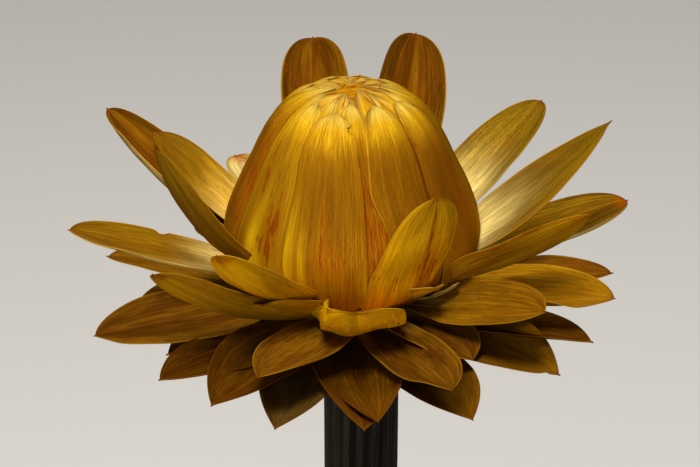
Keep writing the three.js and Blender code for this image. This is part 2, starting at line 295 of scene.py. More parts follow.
def speckGroup():  # small round specks with soft edges, 0.4 to 1.4 times Size, in a share of the cells
    group, entry, leave = newGroup("softSpecks", ("Vector", "Scale", "Amount", "Size"), ("Mask",))
    cells = addNode("TexVoronoi", {"Vector": entry["Vector"], "Scale": entry["Scale"]}, feature="F1")
    draws = addNode("SeparateColor", {0: cells.outputs["Color"]}).outputs
    chosen = mathNode("LESS_THAN", draws[0], entry["Amount"])
    size = times(entry["Size"], plus(speck["leastSize"], draws[1]))
    disc = rangeNode(cells.outputs["Distance"], times(size, speck["solidShare"]), size, 1.0, 0.0)
    fill(leave, {"Mask": times(disc, chosen)})
    return group


dryFibres = fibreGroup()
brokenStreaks = streakGroup()
softSpecks = speckGroup()
print("node groups ready")


# Bract materials. Each point knows its place on its bract, its tone and its tint, as three attributes.

lengthwise = {  # the colours from a bract's foot to its tip, with painted light and shade for the closed and lower bracts
    # closed bracts: a painted highlight near the tips over their own paler tips, a painted shade band over
    # the dome's middle, and a foot made lighter as painted light
    "closed": [
        (0.0, (0.26, 0.19, 0.003)), (0.25, (0.4, 0.19, 0.001)), (0.42, (0.165, 0.043, 0.001)),
        (0.6, (0.125, 0.032, 0.001)), (0.72, (0.15, 0.042, 0.001)), (0.82, (0.27, 0.104, 0.002)),
        (0.91, (0.64, 0.36, 0.007)), (1.0, (0.92, 0.7, 0.13)),
    ],
    "upper": [
        (0.0, (0.28, 0.155, 0.008)), (0.25, (0.25, 0.115, 0.002)), (0.6, (0.2, 0.08, 0.002)),
        (1.0, (0.16, 0.054, 0.002)),
    ],
    "middle": [
        (0.0, (0.2, 0.1, 0.006)), (0.25, (0.19, 0.08, 0.002)), (0.6, (0.165, 0.06, 0.002)),
        (1.0, (0.14, 0.043, 0.002)),
    ],
    # lower bracts: partly painted shade, darker than their own brown, as this whorl sits in shade under
    # the others
    "lower": [
        (0.0, (0.11, 0.05, 0.003)), (0.35, (0.1, 0.036, 0.001)), (0.75, (0.1, 0.03, 0.001)),
        (1.0, (0.11, 0.027, 0.001)),
    ],
}
looks = {  # in the same order: the closed, upper, middle and lower bracts; the lower column is darker in part as painted shade
    "deep": ((0.15, 0.04, 0.001), (0.15, 0.046, 0.002), (0.12, 0.035, 0.002), (0.05, 0.014, 0.001)),
    "pale": ((0.27, 0.096, 0.001), (0.28, 0.14, 0.004), (0.22, 0.1, 0.004), (0.12, 0.05, 0.002)),
    "olive": ((0.2, 0.12, 0.004), (0.115, 0.068, 0.003), (0.1, 0.057, 0.003), (0.11, 0.07, 0.014)),
    "brown": ((0.2, 0.062, 0.003), (0.072, 0.021, 0.001), (0.075, 0.024, 0.002), (0.055, 0.017, 0.002)),
    # the gold colour is the bracts' golden tone, and also painted light on bracts and spots that lie in
    # shade
    "litGold": ((0.75, 0.45, 0.005), (0.85, 0.43, 0.003), (0.44, 0.21, 0.003), (0.2, 0.088, 0.003)),
    # the cream colour is the bracts' pale cream bases, made brighter as painted light on the roots
    "litCream": ((0.6, 0.44, 0.12), (0.95, 0.76, 0.26), (0.5, 0.37, 0.13), (0.32, 0.23, 0.08)),
    "blush": ((0.42, 0.08, 0.001), (0.42, 0.08, 0.001), (0.22, 0.055, 0.002), (0.15, 0.037, 0.002)),
    "stain": ((0.19, 0.014, 0.001), (0.22, 0.03, 0.002), (0.1, 0.013, 0.003), (0.06, 0.01, 0.003)),
    # the margin colour is the dark red margin and tip line, partly painted shade where the bracts overlap
    # and at their tips; the rim colour is a painted highlight on the lit edges
    "marginShade": ((0.1, 0.02, 0.002), (0.17, 0.042, 0.003), (0.15, 0.037, 0.003), (0.14, 0.034, 0.003)),
    "rimHighlight": ((0.5, 0.28, 0.01), (0.42, 0.22, 0.01), (0.32, 0.16, 0.008), (0.17, 0.062, 0.003)),
    "rimHighlightShare": (0.4, 0.6, 0.6, 0.45),
    "paleMargin": (0.5, 0.25, 0.25, 0.2),
    "blushShare": (0.25, 0.6, 0.5, 0.45),
    "outerShare": (0.0, 0.15, 0.2, 0.4),
    "fibresAcross": (38, 17, 19, 21),
    "streaksAcross": (10, 13, 14, 15),
    "shadeLow": (0.86, 0.68, 0.66, 0.62),
    "shadeHigh": (1.12, 1.15, 1.15, 1.15),
    "lineShade": (0.9, 0.78, 0.72, 0.7),
    "tipLine": (0.35, 0.75, 0.75, 0.75),
    "wax": (0.1, 0.07, 0.05, 0.035),
    "roughness": ((0.44, 0.31), (0.5, 0.36), (0.52, 0.38), (0.55, 0.4)),
}
paper = {  # patterns, and ranges that turn low and high values of a pattern into shares
    "broad": (1.6, 2.2, 0), "green": (2.6, 1.4, 14.2), "edge": (4, 2, 0), "fibresAlong": 11,
    "fibreCoarse": 0.2, "streaksAlong": 13, "streakShift": 5.3, "streakShare": 0.8,
    "wander": 0.16,  # how far the lengthwise colours wander
    "paleRange": (0.42, 0.62, 0.45, 0.0), "edgeRise": (0.3, 1.0, 0.0, 0.22), "paleEdge": (0.55, 0.75),
    "deepRange": (0.5, 0.72, 0.0, 0.8),
    "patches": {
        "olive": (0.3, 0.6, 0.35, 1.0), "brown": (0.35, 0.6, 0.4, 1.0),
        "litGold": (0.4, 0.65, 1.0, 0.6), "litCream": (0.35, 0.65, 1.0, 0.55),
    },
    "litGoldCalm": 0.5,  # a bract shows its fibres less where it is golden and where light is painted on it
    "blushRange": (0.35, 1.2), "rimRange": (0.945, 1.0, 0.0, 0.75), "tipRange": (0.965, 1.0),
    "rimSoftness": 0.05, "frecklesAlong": 40,
    "freckles": {"Scale": 0.55, "Amount": 0.12, "Size": 0.32},
    "freckleShare": 0.45, "broadHeight": 2.0, "bump": (0.7, 0.0003),
    "glow": (0.5, 0.24, 0.005),  # light that comes through the bract
    "glowTint": 0.12, "glowShare": 0.22, "waxColours": ((1.0, 0.58, 0.02), (0.2, 0.09, 0.003)),
}


def bractColour(look, place, colour, broad, amounts):
    edge = mathNode("ABSOLUTE", place[0])
    towardEdge = plus(rangeNode(edge, *paper["edgeRise"]), broad)
    paleEdge = rangeNode(towardEdge, *paper["paleEdge"], 0.0, look["paleMargin"])
    colour = paint(
        colour, (rangeNode(broad, *paper["paleRange"]), look["pale"]), (paleEdge, look["pale"]),
        (rangeNode(broad, *paper["deepRange"]), look["deep"]))
    patterns = (patternNode(place, paper["green"]), broad, broad, broad)
    for (name, patch), pattern, amount in zip(paper["patches"].items(), patterns, amounts):
        share = times(rangeNode(pattern, *patch), amount)
        colour = blendNode(share, colour, look[name])
    return colour


def fibreShade(look, fibres, litGold):  # a factor for the colour
    shade = rangeNode(fibres["Shade"], 0.0, 1.0, look["shadeLow"], look["shadeHigh"])
    shade = times(shade, rangeNode(fibres["Line"], 0.0, 1.0, 1.0, look["lineShade"]))
    calm = rangeNode(litGold, 0.0, 1.0, 1.0, paper["litGoldCalm"])
    shade = mathNode("MULTIPLY_ADD", minus(shade, 1.0), calm, 1.0)
    return vectorNode(shade, shade, shade)


def bractMarks(look, place, tone, colour, threads):  # streaks, the margin line with painted shade in it, painted edge highlights, the outer face and freckles
    across, along, seed = place
    stain, _, outerFace = tone
    streaks = placeGroup(
        brokenStreaks, Across=times(across, look["streaksAcross"]),
        Along=times(along, paper["streaksAlong"]), Seed=plus(seed, paper["streakShift"]), Amount=stain)
    # the edge band shows the margin line, partly painted shade, in some places and a painted highlight in
    # the others
    rimMark, soft = 1 - look["rimHighlightShare"], paper["rimSoftness"]
    edgeTone = rangeNode(patternNode(place, paper["edge"], 1.0), rimMark - soft, rimMark + soft)
    spot = vectorNode(threads, times(along, paper["frecklesAlong"]), seed)
    freckles = placeGroup(softSpecks, Vector=spot, **paper["freckles"])
    return paint(
        colour,
        (rangeNode(stain, *paper["blushRange"], 0.0, look["blushShare"]), look["blush"]),
        (times(streaks["Mask"], paper["streakShare"]), look["stain"]),
        (rangeNode(mathNode("ABSOLUTE", across), *paper["rimRange"]),
         blendNode(edgeTone, look["marginShade"], look["rimHighlight"])),
        (rangeNode(along, *paper["tipRange"], 0.0, look["tipLine"]), look["marginShade"]),
        (times(outerFace, look["outerShare"]), look["brown"]),
        (times(freckles["Mask"], paper["freckleShare"]), look["stain"]))


def bractMaterial(name, stops, look):
    material, tree = newMaterial(name)
    tree.nodes.clear()
    place, tone, tint = (attributeParts(tree, "piece" + label) for label in ("Place", "Tone", "Tint"))
    across, along, seed = place
    threads = times(across, look["fibresAcross"])
    fibres = placeGroup(
        dryFibres, Across=threads, Along=times(along, paper["fibresAlong"]), Seed=seed,
        Coarse=paper["fibreCoarse"])
    broad = patternNode(place, paper["broad"])
    wander = mathNode("MULTIPLY_ADD", minus(broad, 0.5), paper["wander"], along)
    plain = bractColour(look, place, rampNode(wander, stops), broad, (*tint, tone[1]))
    shaded = blendNode(1.0, plain, fibreShade(look, fibres, tint[2]), "MULTIPLY")
    colour = bractMarks(look, place, tone, shaded, threads)
    height = plus(fibres["Height"], times(broad, paper["broadHeight"]))
    normal = bumpNode(height, *paper["bump"])
    roughness = rangeNode(fibres["Shade"], 0.0, 1.0, *look["roughness"])
    surface = addNode("BsdfPrincipled", {
        "Base Color": colour, "Roughness": roughness, "Normal": normal, "Specular IOR Level": 0.0})
    glow = addNode("BsdfTranslucent", {"Color": blendNode(paper["glowTint"], plain, paper["glow"])})
    body = addNode("MixShader", {0: paper["glowShare"], 1: surface.outputs[0], 2: glow.outputs[0]})
    wax = addNode("BsdfAnisotropic", {  # a soft golden gloss, as on waxy paper
        "Color": blendNode(tint[1], *paper["waxColours"]), "Roughness": roughness, "Normal": normal})
    mixed = addNode("MixShader", {0: look["wax"], 1: body.outputs[0], 2: wax.outputs[0]})
    addNode("OutputMaterial", {"Surface": mixed.outputs[0]})
    return material


papers = {}
for column, layerName in enumerate(lengthwise):
    layerLook = {key: values[column] for key, values in looks.items()}
    papers[layerName] = bractMaterial(layerName + "BractPaper", lengthwise[layerName], layerLook)
print("bract materials ready")


# Thin shells. A sheet is rows of points, each with its place on the bract.

plainTone = {
    "stain": 0.3, "stains": (), "litCream": 0.3, "litCreamSpots": (), "litCreamReach": 0.16, "outer": 1, "olive": 0,
    "brown": 0, "litGold": 0, "litGoldSpots": (),
}
shell = {
    "edge": 0.45,  # thickness at its edges, as a share of that in the middle
    "litCreamFull": 0.2,  # the share of its reach where the cream base, with its painted light, is at its full strength
    "sharpAngle": 60,
}


def newBuild():
    return {"points": [], "faces": [], "place": [], "tone": [], "tint": []}


def addPoint(build, point, **labels):
    build["points"].append(point)
    for label, value in labels.items():
        build[label].append(value)


def ringPoint(radius, turn, z):  # turn is from the right, anticlockwise
    return Vector((radius * math.cos(turn), radius * math.sin(turn), z))


def bearingPoint(radius, bearing, z):  # bearing is from the front, in degrees to the right
    turn = math.radians(bearing)
    return Vector((radius * math.sin(turn), -radius * math.cos(turn), z))


def wobble(wave, u, v, seed):  # a wave is its height and the stretch of its three coordinates
    height, first, second, third = wave
    return height * noise.noise(Vector((u * first, v * second, seed * third)))


def smooth(value, low, high):
    share = min(max((value - low) / (high - low), 0), 1)
    return share * share * (3 - 2 * share)


def rowPlaces(rows, power):  # from 0 to 1, closer together toward 1
    return [1 - (1 - i / rows) ** power for i in range(rows + 1)]


def acrossPlaces(columns):
    return [2 * j / columns - 1 for j in range(columns + 1)]


def curvePoint(marks, place):  # on the Catmull-Rom curve through the marks, with place counted in marks
    last = len(marks) - 1
    k = min(int(place), last - 1)
    t = place - k
    point = []
    for a, b, c, d in zip(*[marks[min(max(k + step, 0), last)] for step in (-1, 0, 1, 2)]):
        slopeIn, slopeOut = (c - a) / 2, (d - b) / 2
        point.append((2 * b - 2 * c + slopeIn + slopeOut) * t ** 3
                     + (3 * c - 3 * b - 2 * slopeIn - slopeOut) * t ** 2 + slopeIn * t + b)
    return point


def seededDraw(seed):  # the same row of numbers from -1 to 1 on each run
    factor, modulus = 16807, 2147483647
    state = {"value": seed}

    def draw():
        state["value"] = (state["value"] * factor) % modulus
        return state["value"] / modulus * 2 - 1

    return draw


def sheetNormal(sheet, i, j):
    last, side = len(sheet) - 1, len(sheet[0]) - 1
    along = sheet[min(i + 1, last)][j][0] - sheet[max(i - 1, 0)][j][0]
    across = sheet[i][min(j + 1, side)][0] - sheet[i][max(j - 1, 0)][0]
    return along.cross(across).normalized()


def spotShare(spots, across, along):  # each spot is across, along, half width, half length and strength
    share = 0
    for x, y, width, length, strength in spots:
        share += strength * math.exp(-((across - x) / width) ** 2 - ((along - y) / length) ** 2)
    return share


def addShell(build, sheet, thickness, seed, tone):
    rows, columns = len(sheet), len(sheet[0])
    size = rows * columns
    first, faces = len(build["points"]), build["faces"]
    for face in (1, -1):
        for i, row in enumerate(sheet):
            for j, (point, across, along) in enumerate(row):
                fullness = math.sqrt(max(0, 1 - across * across))
                depth = thickness / 2 * (shell["edge"] + (1 - shell["edge"]) * fullness)
                stain = tone["stain"] + spotShare(tone["stains"], across, along)
                # the cream base, with its painted light, fades out along the bract
                fade = 1 - smooth(along, shell["litCreamFull"] * tone["litCreamReach"], tone["litCreamReach"])
                litCream = min(1, tone["litCream"] * fade + spotShare(tone["litCreamSpots"], across, along))
                litGold = min(1, tone["litGold"] + spotShare(tone["litGoldSpots"], across, along))
                addPoint(
                    build, point + sheetNormal(sheet, i, j) * (face * depth), place=(across, along, seed),
                    tone=(stain, litCream, 0.0 if face == 1 else tone["outer"]),
                    tint=(tone["olive"], tone["brown"], litGold))
    for i in range(rows - 1):
        for j in range(columns - 1):
            a = first + i * columns + j
            b = a + columns
            faces += [(a, b, b + 1, a + 1), (a + size, a + 1 + size, b + 1 + size, b + size)]
    border = [i * columns for i in range(rows - 1)]
    border += [(rows - 1) * columns + j for j in range(columns - 1)]
    border += [i * columns + columns - 1 for i in range(rows - 1, 0, -1)]
    border += list(range(columns - 1, 0, -1))
    for k, u in enumerate(border):
        u += first
        v = first + border[(k + 1) % len(border)]
        faces.append((v, u, u + size, v + size))


def addRings(build, first, sides, rings, foot, top):  # a skin over rings of points and two end points
    last = first + (rings - 1) * sides
    for j in range(sides):
        after = (j + 1) % sides
        for i in range(rings - 1):
            a, b = first + i * sides + j, first + i * sides + after
            build["faces"].append((a, b, b + sides, a + sides))
        build["faces"] += [(foot, first + after, first + j), (top, last + j, last + after)]


def pieceFromBuild(name, build, material, node):
    mesh = bpy.data.meshes.new(name)
    offset = Vector((bloomX, 0, bloomZ)) if node == "bloom" else Vector((0, 0, 0))
    mesh.from_pydata([(point + offset) * mm for point in build["points"]], [], build["faces"])
    for label in ("place", "tone", "tint"):
        values = build[label]
        if values:
            attribute = mesh.attributes.new("piece" + label.capitalize(), "FLOAT_VECTOR", "POINT")
            attribute.data.foreach_set("vector", [number for value in values for number in value])
    mesh.shade_smooth()
    mesh.set_sharp_from_angle(angle=math.radians(shell["sharpAngle"]))
    mesh.materials.append(material)
    piece = addObject(name, mesh)
    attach(piece, "root")
    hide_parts(node)
    print(name, "has", len(mesh.polygons), "faces")


# Closed bracts of the dome, wrapped over one another

dome = {
    "outline": [  # radius and height, from the foot to the crown
        (6.2, 0), (9.5, 1.3), (12, 3.2), (13.3, 5.6), (13.2, 8.1), (12.2, 11.1),
        (10.8, 14.1), (9.6, 16.8), (8.3, 19.1), (6.5, 21.1), (3.8, 22.4), (0, 22.9),
    ],
    "thickness": 0.12,
    "tipRows": 1.7,  # the power for rowPlaces
    "ripple": (0.09, 2.1, 3.6, 5.1), "flutter": (0.07, 0.9, 8.5, 2.9), "rib": (0.02, 7, 1.4, 1.7),
    "wander": (1, 3.1, 3.7, 1), "calmTip": 0.7, "widensUntil": 0.4, "tipFrom": 0.72, "cutEnd": (0.42, 0.6),
    "settledAt": 0.1, "leastWidth": 0.0003, "ringSeed": 17.3, "bractSeed": 2.37, "crownSeed": 60,
    # each bract is named by its bearing from the front, and reach is how far up the outline its tip is
    "outer": {
        "usual": {"half": 18, "footHalf": 12, "reach": 0.885, "lift": 0.3, "hug": 0.13, "bluntness": 20,
                  "tipHug": 0.25, "grid": (76, 26)},
        "bracts": {
            -11: dict(turn=-7, half=20, reach=0.857, bluntness=22, stain=0.1, lift=0.42, hug=0.1,
                tipHug=0.2, notch=(0.93, 0.72, 0.5, 0.01), grid=(76, 44),
                litGoldSpots=[(-0.9, 0.3, 0.16, 0.25, 1.1), (-0.55, 0.36, 0.12, 0.14, 0.8),
                       (0.9, 0.2, 0.2, 0.15, 0.6)],
                stains=[(0.15, 0.44, 0.55, 0.1, 1.05), (-0.05, 0.64, 0.05, 0.16, 1.5),
                        (1, 0.6, 0.06, 0.3, 1.2)]),
            27: dict(turn=2, lift=0.22, cut=9, bluntness=26, tipHug=0.1, stain=0.1,
                stains=[(-0.6, 0.6, 0.25, 0.1, 0.5), (0.3, 0.95, 0.3, 0.05, 0.6)]),
            62: dict(lift=0.42, hug=0.1, reach=0.872,
                stains=[(-1, 0.7, 0.06, 0.35, 1.6), (0.4, 0.55, 0.4, 0.25, 0.5)]),
            99: dict(reach=0.93, lift=0.28, olive=0.3), 135: dict(reach=0.9), 171: dict(reach=0.875),
            207: dict(reach=0.9), 240: dict(reach=0.88),
            -84: dict(half=19, reach=0.955, bluntness=14, lift=0.26, stain=0.4,
                stains=[(0.6, 0.6, 0.3, 0.2, 0.7), (0.9, 0.52, 0.1, 0.3, 0.8)]),
            -48: dict(reach=0.88, lift=0.22, tipHug=0.15, litGold=0.2,
                litGoldSpots=[(-0.3, 0.38, 0.2, 0.15, 1), (0.2, 0.22, 0.9, 0.14, 1)],
                stains=[(0.35, 0.5, 0.25, 0.13, 1.1), (-0.5, 0.66, 0.15, 0.16, 0.9)]),
        },
    },
    "inner": {
        "usual": {"half": 17, "footHalf": 13, "reach": 0.915, "lift": -0.04, "hug": 0.08, "bluntness": 20,
                  "tipHug": 0.06, "grid": (60, 18)},
        "bracts": {
            6: dict(turn=-8, reach=0.913, stains=[(0.45, 0.5, 0.5, 0.2, 1.5)]),
            44: dict(reach=0.935, stains=[(0, 0.95, 0.4, 0.06, 0.7)]),
            80: {}, 117: {}, 153: {}, 189: {}, 224: {}, 260: dict(half=20), -66: dict(reach=0.93),
            -30: dict(reach=0.925),
        },
    },
    "top": {
        "usual": {"half": 40, "footHalf": 40, "reach": 0.965, "lift": -0.19, "hug": 0.03, "bluntness": 40,
                  "turn": 6, "tipHug": 0.02, "grid": (40, 20), "stain": 0.35,
                  "stains": [(0, 0.97, 0.8, 0.07, 0.7)]},
        "bracts": {
            -34: dict(reach=0.955), 36: dict(reach=0.975, lift=-0.16), 108: {}, 180: {}, 252: {},
        },
    },
}
crown = {
    **plainTone, "count": 3, "first": -70, "startRadius": 3.9, "length": 5.2, "half": 3, "swirl": 0.6,
    "lift": -0.3, "lean": 0.03, "grid": (26, 14), "stain": 1, "brown": 0.1, "tipRows": 1.6,
    "footWidth": 0.85, "bluntness": 5, "ripple": (0.05, 1.7, 2.6, 1), "droop": 0.05,
    "along": (0.78, 0.96),  # the colours of a bract's upper part
}
plainClosed = {**plainTone, "turn": 0, "cut": 0, "notch": None}


def outlinePoint(along):
    return Vector(curvePoint(dome["outline"], min(max(along, 0), 1) * (len(dome["outline"]) - 1)))


def outlineTangent(along):
    step = 0.0005
    return (outlinePoint(min(along + step, 1)) - outlinePoint(max(along - step, 0))).normalized()


def liftedPoint(along, lift):  # radius and height, off the outline by the lift
    place, tangent = outlinePoint(along), outlineTangent(along)
    return place.x + tangent.y * lift, place.y - tangent.x * lift


def closedSheet(bract, seed):
    rows, columns = bract["grid"]
    sheet = []
    for u in rowPlaces(rows, dome["tipRows"]):
        along = bract["reach"] * u
        widening = math.sin(math.pi / 2 * min(1, along / dome["widensUntil"]))
        half = bract["footHalf"] + (bract["half"] - bract["footHalf"]) * widening
        half *= math.sqrt(max(dome["leastWidth"], 1 - u ** bract["bluntness"]))
        wander = wobble(dome["wander"], u, seed, 0.5)
        tip = smooth(u, dome["tipFrom"], 1)
        row = []
        for s in acrossPlaces(columns):
            reach = half
            if s < 0:
                reach -= bract["cut"] * (1 - smooth(along, *dome["cutEnd"]))
            elif bract["notch"]:
                place, corner, depth, width = bract["notch"]
                reach *= 1 - depth * math.exp(-((u - place) / width) ** 2) * smooth(s, corner, 1)
            facing = bract["facing"] + bract["turn"] * u * u + reach * s + wander * abs(s)
            uneven = wobble(dome["ripple"], s, u, seed) + s * s * wobble(dome["flutter"], s, u, seed)
            uneven += wobble(dome["rib"], s, u, seed) * math.sin(math.pi * u)
            uneven *= 1 - dome["calmTip"] * tip
            settle = min(1, along / dome["settledAt"])
            lift = (bract["lift"] - bract["hug"] * s * s + uneven) * settle - bract["tipHug"] * tip
            radius, height = liftedPoint(along, lift)
            row.append((bearingPoint(radius, facing, height), s, u))
        sheet.append(row)
    return sheet


def crownHeight(radius):
    low, high = 0.4, 1.0
    for _ in range(24):
        middle = (low + high) / 2
        low, high = (middle, high) if outlinePoint(middle).x > radius else (low, middle)
    return outlinePoint(low).y


def crownSheet(k, seed):
    rows, columns = crown["grid"]
    outward = bearingPoint(1, crown["first"] + 360 / crown["count"] * k, 0)
    side = Vector((-outward.y, outward.x, 0))
    start, end = crown["along"]
    sheet = []
    for t in rowPlaces(rows, crown["tipRows"]):
        half = crown["half"] * (crown["footWidth"] + (1 - crown["footWidth"]) * t)
        half *= math.sqrt(max(0.001, 1 - t ** crown["bluntness"]))
        middle = outward * (crown["startRadius"] - crown["length"] * t) + side * (crown["swirl"] * t * t)
        row = []
        for s in acrossPlaces(columns):
            point = middle + side * (half * s)
            uneven = wobble(crown["ripple"], s, t, seed) - crown["droop"] * s * s
            point.z = crownHeight(point.length) + crown["lift"] + crown["lean"] * s + uneven
            row.append((point, s, start + (end - start) * t))
        sheet.append(row)
    return sheet


def makeDome():
    build = newBuild()
    for order, ring in enumerate(("outer", "inner", "top")):
        for k, (facing, given) in enumerate(dome[ring]["bracts"].items()):
            bract = {**plainClosed, "facing": facing, **dome[ring]["usual"], **given}
            seed = order * dome["ringSeed"] + k * dome["bractSeed"]
            addShell(build, closedSheet(bract, seed), dome["thickness"], seed, bract)
    for k in range(crown["count"]):
        seed = dome["crownSeed"] + k * dome["bractSeed"]
        addShell(build, crownSheet(k, seed), dome["thickness"], seed, crown)
    pieceFromBuild("closedBracts", build, papers["closed"], "bloom")


core = {
    "stalk": [(0, -footRise), (4.2, -footRise), (5.6, -4), (6.8, -2.6), (7, -1), (6.6, 0.2)],
    "lift": -0.42, "rows": 40, "sides": 72, "uneven": (0.012, 3, 3, 0.3), "tone": (0.6, 0.2, 1.0),
    "tint": (0.2, 0.4, 0.0), "fibresAround": 8, "fibreLength": 60, "seed": 3.0,
}


def makeCore():  # the dry floret pad and its stalk end, seen only in the gaps
    sides = core["sides"]
    outline = core["stalk"] + [liftedPoint(i / core["rows"], core["lift"]) for i in range(1, core["rows"])]
    top = outlinePoint(1).y + core["lift"]
    build = newBuild()
    points = [Vector((0, 0, outline[0][1]))]
    for i, (radius, height) in enumerate(outline[1:], 1):
        for j in range(sides):
            turn = 2 * math.pi * j / sides
            uneven = wobble(core["uneven"], math.cos(turn), math.sin(turn), i)
            points.append(ringPoint(radius * (1 + uneven), turn, height))
    points.append(Vector((0, 0, top)))
    for point in points:
        across = math.atan2(point.y, point.x) / math.pi * core["fibresAround"]
        along = (point.z + footRise) / core["fibreLength"]
        addPoint(build, point, place=(across, along, core["seed"]), tone=core["tone"], tint=core["tint"])
    addRings(build, 1, sides, len(outline) - 1, 0, len(points) - 1)
    pieceFromBuild("receptacle", build, papers["middle"], "bloom")


makeDome()
makeCore()


# Open bracts, each named by its bearing from the front, positive to the right. Rise is its slope. The side
# of a fold or a notch is 1 for the edge that lies anticlockwise, seen from above, and -1 for the other.

darkBody = (0, 0.6, 1, 0.5, 0.3)  # a stain over most of a bract
upperBracts = {
    "ringRadius": 6.3, "ringHeight": 0.6, "grid": (56, 24), "thickness": 0.16, "ripple": 0.3,
    "usual": {"rise": (20, 30), "length": 28, "width": 7, "taper": (3, 0.58), "litCream": 0.5,
              "litCreamReach": 0.5},
    "hidden": {"from": 172, "to": 178, "count": 1, "rise": 10, "length": 26},
    "bracts": {
        192: dict(root=197, rise=(48, 26), width=8, roll=-5, bend=-10, taper=(4, 0.5), litCream=0, brown=0.95,
            outer=0.3, stains=[darkBody]),
        162: dict(root=149, rise=(50, 38), length=27, width=8, roll=20, bend=12, taper=(4, 0.5), litCream=0,
            brown=0.95, outer=0.3, stains=[darkBody]),
        136: dict(rise=(21, 24), width=7.1, roll=5, bend=5, litCream=1, olive=0.8,
            litCreamSpots=[(0.1, 0.38, 1, 0.18, 1.2)]),
        105: dict(rise=(6, 12), length=26.5, roll=15, bend=12, litCream=0.3, olive=0.85, brown=0.7,
            litCreamSpots=[(-0.9, 0.5, 0.15, 0.25, 0.8)], stains=[(0, 1, 1, 0.06, 0.8)]),
        90: dict(rise=(34, 48), width=6.4, roll=18, litCream=1, olive=0.75, taper=(2, 0.95),
            fold=(-1, 0.3, -25, 0.1, 0.95), litCreamSpots=[(0.3, 0.32, 0.8, 0.2, 0.9)]),
        57: dict(rise=(21, 46), width=6.5, roll=-30, bend=-6, olive=0.3, litCream=0, litGold=0.3,
            taper=(2.3, 0.75),
            stains=[(0, 0.98, 1, 0.07, 1), (-1, 0.6, 0.12, 0.4, 0.9), (1, 0.6, 0.1, 0.4, 0.9)]),
        12: dict(root=39, rises=[(0, 28), (0.36, 31), (0.48, 69), (1, 88)], length=23, width=9.8, roll=20,
            bend=-4, cup=7, foot=0.8, sway=2.5, drop=1.2, taper=(3, 0.6), outer=0,
            stains=[(0.3, 0.6, 0.45, 0.13, 0.95), (0.15, 0.85, 0.06, 0.14, 1.1)], litCream=0, litGold=0.3,
            litGoldSpots=[(-0.4, 0.62, 1.2, 0.24, 1)], olive=0.2, notches=[(0.36, 1, 0.5, 0.24)]),
        2: dict(root=-2, rise=(0, 52), length=19, width=11.4, cup=28, crease=-0.1, drop=1,
            taper=(3.4, 0.45), outer=0, litCream=0, wave=2.8, litGold=1, fold=(-1, 0.6, 75, 0.25, 0.85),
            stains=[(0.3, 0.7, 0.6, 0.1, 0.4)]),
        -30: dict(root=-18, rise=(8, 40), length=14.5, roll=25, bend=-8, drop=0.8, outer=0, litCream=0.4,
            litGold=0.6, olive=0.3),
        40: dict(root=18, rise=(20, 38), length=12.5, width=5.4, roll=-10, drop=0.3, outer=0, litCream=0.15,
            litCreamReach=1.5, litGold=0.8, stains=[(1, 0.6, 0.2, 0.5, 0.8)]),
        56: dict(rise=(10, 62), length=10.5, width=3, drop=-0.5, litCream=0.9, litCreamReach=2, olive=0.4),
        50: dict(rise=(0, 50), length=9.5, width=2.4, litCream=0.8, litCreamReach=2, olive=0.6),
        -24: dict(rise=(18, 48), width=6, roll=20, bend=-8, outer=0, litGold=0.8, litCream=0,
            stains=[(-0.85, 0.5, 0.35, 0.42, 0.65), (0, 0.97, 1, 0.05, 1)]),
        -57: dict(rise=(26, 74), length=27.4, width=4.7, roll=22, bend=-4, olive=0.6, outer=0.3, litCream=0,
            crease=0.12, litGoldSpots=[(0.8, 0.4, 0.2, 0.4, 0.4)], stains=[(-0.9, 0.5, 0.3, 0.4, 0.9)]),
        -72: dict(rise=(17, 24), length=26.2, width=6.2, roll=-15, bend=-5, drop=-0.4, litCream=1,
            litCreamReach=0.6, brown=0.15, olive=0.3, outer=0, fold=(1, 0.45, 16, 0.12, 0.78),
            litCreamSpots=[(0.9, 0.5, 0.4, 0.35, 0.7)], notches=[(0.6, -1, 0.15, 0.02)]),
        -98: dict(rise=(12, 26), length=10, litCream=1, litCreamReach=2),
        -115: dict(rise=(20, 42), roll=-12, bend=-4, drop=0.2, litCream=0.1, brown=0.9, stains=[darkBody],
            fold=(1, 0.62, 50, 0.1, 0.85), litCreamSpots=[(0.95, 0.6, 0.25, 0.3, 0.6)]),
        -118: dict(rise=(25, 42), length=22, litCream=0.7, litCreamReach=0.75, olive=0.4, outer=0.2,
            litGoldSpots=[(0, 0.3, 1.2, 0.3, 0.9)]),
        -136: dict(rise=(8, 16), length=20),
        -148: dict(rise=(20, 10), length=19.5, litCream=0.7, litCreamReach=2, litCreamSpots=[(0.5, 0.8, 0.4, 0.3, 0.5)],
            stains=[(0, 1, 1.2, 0.08, 0.9)]),
    },
}
